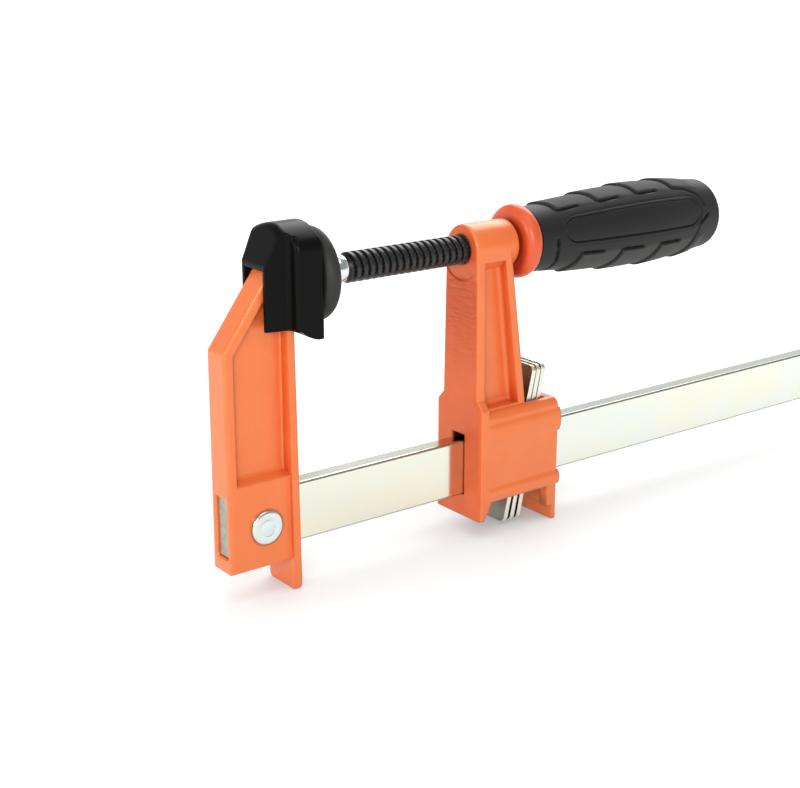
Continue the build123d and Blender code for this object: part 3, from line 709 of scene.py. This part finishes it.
class CLAMP_OT_screw(bpy.types.Operator):
    """Threaded screw and its zinc ball sleeve"""
    bl_idname = "clamp.screw"
    bl_label = "Screw"

    # How far the thread runs on inside the handle's core
    THREAD_IN_CORE = 6 * MM
    # Rise of the first turn for its length, where the thread is cut in
    LEAD_IN = 0.9
    # Journal inside the sleeve, as a share of the screw's radius
    JOURNAL = 0.45

    def screw_rows(self, thread, ring):
        """A journal, a thread and a plain shank, as rings about the screw's axis.

        Where a point stands between two crests gives the share of the depth there:
        1 on the crest, 0 in the root, and a smooth step down each flank.
        """
        low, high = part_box("screw")
        root_r = SCREW_R - thread.depth
        sleeve_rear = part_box("swivel_ball")[1].x
        thread_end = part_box("handle_core")[0].x + self.THREAD_IN_CORE
        turns = (thread_end - sleeve_rear) / thread.pitch
        x = np.linspace(sleeve_rear, thread_end, int(turns * thread.steps))
        angle = np.linspace(0, 2 * np.pi, ring, endpoint=False)
        # Share of a pitch past the nearest crest, 0 on it and 0.5 in the middle of the root
        phase = x[:, None] / thread.pitch + angle / (2 * np.pi)
        past = np.abs(phase - np.round(phase))
        height = np.clip((thread.crest / 2 + thread.flank - past) / thread.flank, 0, 1)
        height = height * height * (3 - 2 * height)
        radius = root_r + thread.depth * height
        lead_in = root_r + (x[:, None] - sleeve_rear) * self.LEAD_IN
        radius = np.minimum(radius, np.maximum(lead_in, root_r))
        journal_r = self.JOURNAL * SCREW_R
        front = np.array([[low.x, POLE_R], [low.x, journal_r], [sleeve_rear, journal_r]])
        rear = np.array([[thread_end, SCREW_R], [high.x, SCREW_R], [high.x, POLE_R]])
        return np.concatenate([
            turned_rows(front[:, 0], front[:, 1], ring),
            turned_rows(x, radius, ring),
            turned_rows(rear[:, 0], rear[:, 1], ring),
        ])

    def execute(self, context):
        colours = context.scene.clamp_colours
        rows = self.screw_rows(context.scene.clamp_thread, 96)
        show(grid_mesh("threaded_screw", rows), "screw", oxide_finish(colours.oxide), 60.0)
        sleeve = ZincFinish("sleeve_zinc", colours.blue_zinc, "Y", 0.12).material
        softened("swivel_ball", "ball_sleeve", sleeve, 0.25 * MM)
        return {"FINISHED"}


class CLAMP_OT_handle(bpy.types.Operator):
    """Handle core with its collar, and the treaded grip"""
    bl_idname = "clamp.handle"
    bl_label = "Handle"

    # Lines of the tread: mm along the clamp, degrees from the panel's middle
    LUG_LINE = ((-0.5, 90), (0, 78), (2.0, 58), (2.9, 42), (4.0, 40), (12.6, 41))
    UPPER_LUGS_X = 101.3
    LOWER_LUGS_X = 109.2
    TAIL_LINES = (
        ((154.2, 90), (154.7, 78), (156.7, 58), (157.5, 42), (163.0, 38), (168.0, 26), (170.0, 8)),
        ((162.0, -90), (162.6, -78), (164.6, -58), (165.6, -43), (167.4, -20), (171.5, -7)),
    )
    NECK_LINE = ((99.4, -90), (101.6, -72), (102.2, -55), (101.7, -35), (101.4, -12))
    # Leading edge of a lug behind the start of its line: degrees from the panel, mm
    LUG_EDGE = ((40, 2.9), (58, 2.0), (78, 0.0), (90, -0.5))
    # Where the lugs start, in degrees, and end, in mm, and how soon they fade there
    LUG_START = 37
    LUG_START_FADE = 6
    LUG_END_X = 171
    LUG_END_FADE = 3
    # Ends of the panel's middle line, and its line, outer rim and field: mm wide, mm deep
    PANEL_X = (110.2, 161.8)
    PANEL_LINE = (0.40, 0.60)
    PANEL_RIM = (0.35, 0.25)
    PANEL_FIELD = (0.8, 0.20)
    RIM_FROM_LINE = 1.0
    # Swell of the grip: mm along the clamp, mm from the screw's axis
    SWELL_X = (95.0, 111.5, 143.0, 170.2, 175.8)
    SWELL_R = (10.7, 12.0, 14.0, 12.9, 12.3)
    BORE_R = 7.65 * MM
    # Recess round the end of the core
    MOUTH_R = 9.3 * MM
    MOUTH_DEPTH = 3 * MM
    NOSE_R = 3.4 * MM

    def tread(self, x, turn, sizes, belly):
        """Depth cut into the grip, share of lug, and share of painted shade in the grooves and the
        panel's line, at x and an angle.

        The angle is taken from the panel's middle.
        Lugs repeat along the grip above and below a rounded panel, and the far half
        of the grip mirrors the near half. A groove's depth falls off with the
        distance to the nearest line of the pattern. Behind its line a lug stands
        proud, and it falls away to nothing at the next line.
        """
        turn = np.degrees((turn + np.pi) % (2 * np.pi) - np.pi)
        turn = np.where(np.abs(turn) > 90, np.sign(turn) * 180 - turn, turn)
        x, turn = np.broadcast_arrays(x / MM, turn)
        arc = np.radians(belly / MM)
        pitch = sizes.lug_pitch / MM
        lug = np.array(self.LUG_LINE)
        lines = [lug + (self.UPPER_LUGS_X + k * pitch, 0) for k in range(3)]
        lines += [lug * (1, -1) + (self.LOWER_LUGS_X + k * pitch, 0) for k in range(3)]
        lines += [np.array(line) for line in (*self.TAIL_LINES, self.NECK_LINE)]
        nearest = np.full(x.shape, np.inf)
        for line in lines:
            for a, b in zip(line[:-1], line[1:]):
                run_x, run_s = (b - a) * (1, arc)
                off_x, off_s = x - a[0], (turn - a[1]) * arc
                share = np.clip((off_x * run_x + off_s * run_s) / (run_x ** 2 + run_s ** 2), 0, 1)
                nearest = np.minimum(nearest, np.hypot(off_x - share * run_x, off_s - share * run_s))
        groove = np.clip(1.5 - 1.5 * nearest / (sizes.groove_half / MM), 0, 1)
        start = np.where(turn > 0, self.UPPER_LUGS_X, self.LOWER_LUGS_X)
        start = start + np.interp(np.abs(turn), *np.transpose(self.LUG_EDGE))
        step = (x - start) / pitch
        on_lug = np.clip((np.abs(turn) - self.LUG_START) / self.LUG_START_FADE, 0, 1) * (step > 0)
        on_lug = on_lug * np.clip((self.LUG_END_X - x) / self.LUG_END_FADE, 0, 1)
        rise = sizes.lug_rise * (1 - step + np.floor(step)) * on_lug
        edge = np.hypot(x - np.clip(x, *self.PANEL_X), turn * arc) - sizes.panel_half / MM
        line = np.clip(1 - np.abs(edge) / self.PANEL_LINE[0], 0, 1)
        rim = np.clip(1 - np.abs(edge - self.RIM_FROM_LINE) / self.PANEL_RIM[0], 0, 1)
        field = np.clip(0.5 - edge / self.PANEL_FIELD[0], 0, 1)
        panel = self.PANEL_LINE[1] * line + self.PANEL_RIM[1] * rim + self.PANEL_FIELD[1] * field
        depth = np.maximum(sizes.groove_depth * groove, panel * MM)
        return depth - rise, on_lug * (1 - groove), np.maximum(groove, 0.9 * line)

    def grip_mesh(self, sizes, count, ring):
        """A sleeve turned about the screw's axis, with the tread cut into its swell.

        A curve of the fourth degree through five points gives the swell. A quarter
        round makes the nose, and the last ring closes on the first at the bore.
        """
        low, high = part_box("handle_grip")
        belly = (high.z - low.z) / 2
        knots_x = np.array(self.SWELL_X) * MM
        knots_r = np.array(self.SWELL_R) * MM
        x = np.linspace(low.x, knots_x[-1], count)
        swell = np.polyval(np.polyfit(knots_x, knots_r, 4), x)
        angle = np.linspace(0, 2 * np.pi, ring, endpoint=False)
        depth, lug, groove = self.tread(x[:, None], angle[None, :] - sizes.panel_turn, sizes, belly)
        nose = arc_points((high.x - self.NOSE_R, swell[-1] - self.NOSE_R), self.NOSE_R, 80, 0, 8)
        nose[:, 0] = np.minimum(nose[:, 0], high.x)
        inner = high.x - self.MOUTH_DEPTH
        mouth = [(high.x, self.MOUTH_R), (inner, self.MOUTH_R), (inner, self.BORE_R)]
        tail = np.concatenate([nose, mouth])
        bore = turned_rows([low.x], [self.BORE_R], ring)
        outside = turned_rows(x, swell[:, None] - depth, ring)
        end = turned_rows(tail[:, 0], tail[:, 1], ring)
        mesh = grid_mesh("treaded_grip", np.concatenate([bore, outside, end, bore]), False)
        # The groove attribute carries painted shade: the grooves and the panel's line, painted black in
        # the grip's finish
        for name, values in (("lug", lug), ("groove", groove)):
            padded = np.concatenate([np.zeros((1, ring)), values, np.zeros((len(tail) + 1, ring))])
            mesh.attributes.new(name, "FLOAT", "POINT").data.foreach_set("value", padded.ravel())
        return mesh

    def execute(self, context):
        colours = context.scene.clamp_colours
        softened("handle_core", "collared_core", core_finish(colours.collar), 0.5 * MM)
        mesh = self.grip_mesh(context.scene.clamp_grip, 314, 300)
        show(mesh, "handle_grip", grip_finish(colours), 50.0)
        return {"FINISHED"}


class CLAMP_OT_stage(bpy.types.Operator):
    """White floor, soft light and the camera"""
    bl_idname = "clamp.stage"
    bl_label = "Stage"

    # Name, place, aim and side of each softbox, and the setting with its power
    SOFTBOXES = (
        ("top_softbox", (0.02, -0.22, 0.85), (0.06, 0, 0.06), 0.6, "top_power"),
        ("key_softbox", (0.62, 0.42, 0.72), (0.08, 0, 0.08), 0.7, "key_power"),
        ("front_softbox", (-0.62, -0.74, 0.46), (0.02, 0, 0.06), 0.30, "front_power"),
        ("end_softbox", (-0.95, 0.02, 0.40), (0.02, 0, 0.06), 0.40, "end_power"),
    )
    # The floor's glow grows between two distances from a point under the clamp
    GLOW_MIDDLE = (0.09, -0.02, 0)
    GLOW_REACH = (0.10, 0.42)
    SHADE_REACH = 0.09
    PAPER = (0.42, 0.42, 0.42, 1)
    SENSOR_MM = 36.0
    CLIP_START = 0.01

    def softbox(self, name, place, aim, side, power):
        light = bpy.data.lights.new(name, "AREA")
        light.shape = "SQUARE"
        light.size = side
        light.energy = power
        lamp = bpy.data.objects.new(name, light)
        lamp.location = place
        lamp.rotation_euler = (Vector(aim) - Vector(place)).to_track_quat("-Z", "Y").to_euler()
        bpy.context.scene.collection.objects.link(lamp)

    def floor(self, stage):
        """A wide square that glows more away from the clamp, so that it stays white there, and glows
        less where things stand close over it, a painted shadow.
        """
        mesh = bpy.data.meshes.new("studio_floor")
        corners = np.array([(-1, -1, 0), (1, -1, 0), (1, 1, 0), (-1, 1, 0)]) * stage.floor_half
        mesh.from_pydata(corners.tolist(), [], [(0, 1, 2, 3)])
        floor = bpy.data.objects.new("studio_floor", mesh)
        bpy.context.scene.collection.objects.link(floor)
        paper = Finish("white_paper", **{
            "Roughness": 0.9,
            "Specular IOR Level": 0.1,
            "Base Color": self.PAPER,
            "Emission Strength": stage.far_glow,
        })
        dimmed = stage.near_glow / stage.far_glow
        away = paper.ramp(paper.distance(self.GLOW_MIDDLE), *self.GLOW_REACH, dimmed, 1.0)
        # Painted shadow: the floor's glow dims where the clamp closes in over it
        painted_floor_shadow = paper.ramp(paper.openness(self.SHADE_REACH, False), 0.0, 1.0, 0.25, 1.0)
        paper.set("Emission Color", paper.mix(away * painted_floor_shadow, (0, 0, 0), (1, 1, 1)))
        mesh.materials.append(paper.material)

    def sky(self, stage):
        """A dim surround, brighter low down behind the clamp, that meets the floor in white."""
        world = bpy.data.worlds.new("studio_surround")
        world.use_nodes = True
        nodes = Nodes(world.node_tree, "Generated")
        x, y, z = nodes.axes()
        behind = nodes.ramp(0.6 * x + 0.8 * y, 0.0, 0.6)
        low = nodes.ramp(z, 0.55, 0.12)
        horizon = nodes.ramp(z, 0.10, 0.05)
        strength = stage.sky + stage.backdrop * nodes.ramp(behind * low + 0.74 * horizon, 0.0, 1.0)
        surround = nodes.node("ShaderNodeBackground", {}, {"Color": (1, 1, 1, 1), "Strength": strength})
        nodes.node("ShaderNodeOutputWorld", {}, {"Surface": nodes.out(surround, "Background")})
        bpy.context.scene.world = world

    def execute(self, context):
        stage = context.scene.clamp_stage
        self.floor(stage)
        self.sky(stage)
        for name, place, aim, side, power in self.SOFTBOXES:
            self.softbox(name, place, aim, side, getattr(stage, power))
        camera_data = bpy.data.cameras.new("camera")
        camera_data.lens = stage.lens
        camera_data.sensor_width = self.SENSOR_MM
        camera_data.clip_start = self.CLIP_START
        camera = bpy.data.objects.new("camera", camera_data)
        camera.location = stage.camera_place
        aim = Vector(stage.camera_aim) - Vector(stage.camera_place)
        camera.rotation_euler = aim.to_track_quat("-Z", "Y").to_euler()
        context.scene.collection.objects.link(camera)
        context.scene.camera = camera
        context.scene.view_settings.view_transform = "Standard"
        return {"FINISHED"}


class CLAMP_PT_sidebar(bpy.types.Panel):
    """Lists the clamp's pieces in the sidebar"""
    bl_idname = "CLAMP_PT_sidebar"
    bl_label = "Bar clamp"
    bl_space_type = "VIEW_3D"
    bl_region_type = "UI"
    bl_category = "Clamp"

    def draw(self, context):
        for operator in OPERATORS:
            self.layout.operator(operator.bl_idname)


OPERATORS = (
    CLAMP_OT_castings,
    CLAMP_OT_bar,
    CLAMP_OT_clutch,
    CLAMP_OT_pads,
    CLAMP_OT_screw,
    CLAMP_OT_handle,
    CLAMP_OT_stage,
)


def register():
    for cls in (*GROUPS.values(), *OPERATORS, CLAMP_PT_sidebar):
        bpy.utils.register_class(cls)
    for name, group in GROUPS.items():
        setattr(bpy.types.Scene, name, PointerProperty(type=group))


def unregister():
    for name in GROUPS:
        delattr(bpy.types.Scene, name)
    for cls in reversed((*GROUPS.values(), *OPERATORS, CLAMP_PT_sidebar)):
        bpy.utils.unregister_class(cls)


def main():
    register()
    bpy.ops.clamp.castings()
    bpy.ops.clamp.bar()
    bpy.ops.clamp.clutch()
    bpy.ops.clamp.pads()
    bpy.ops.clamp.screw()
    bpy.ops.clamp.handle()
    bpy.ops.clamp.stage()


if __name__ == "__main__":
    main()
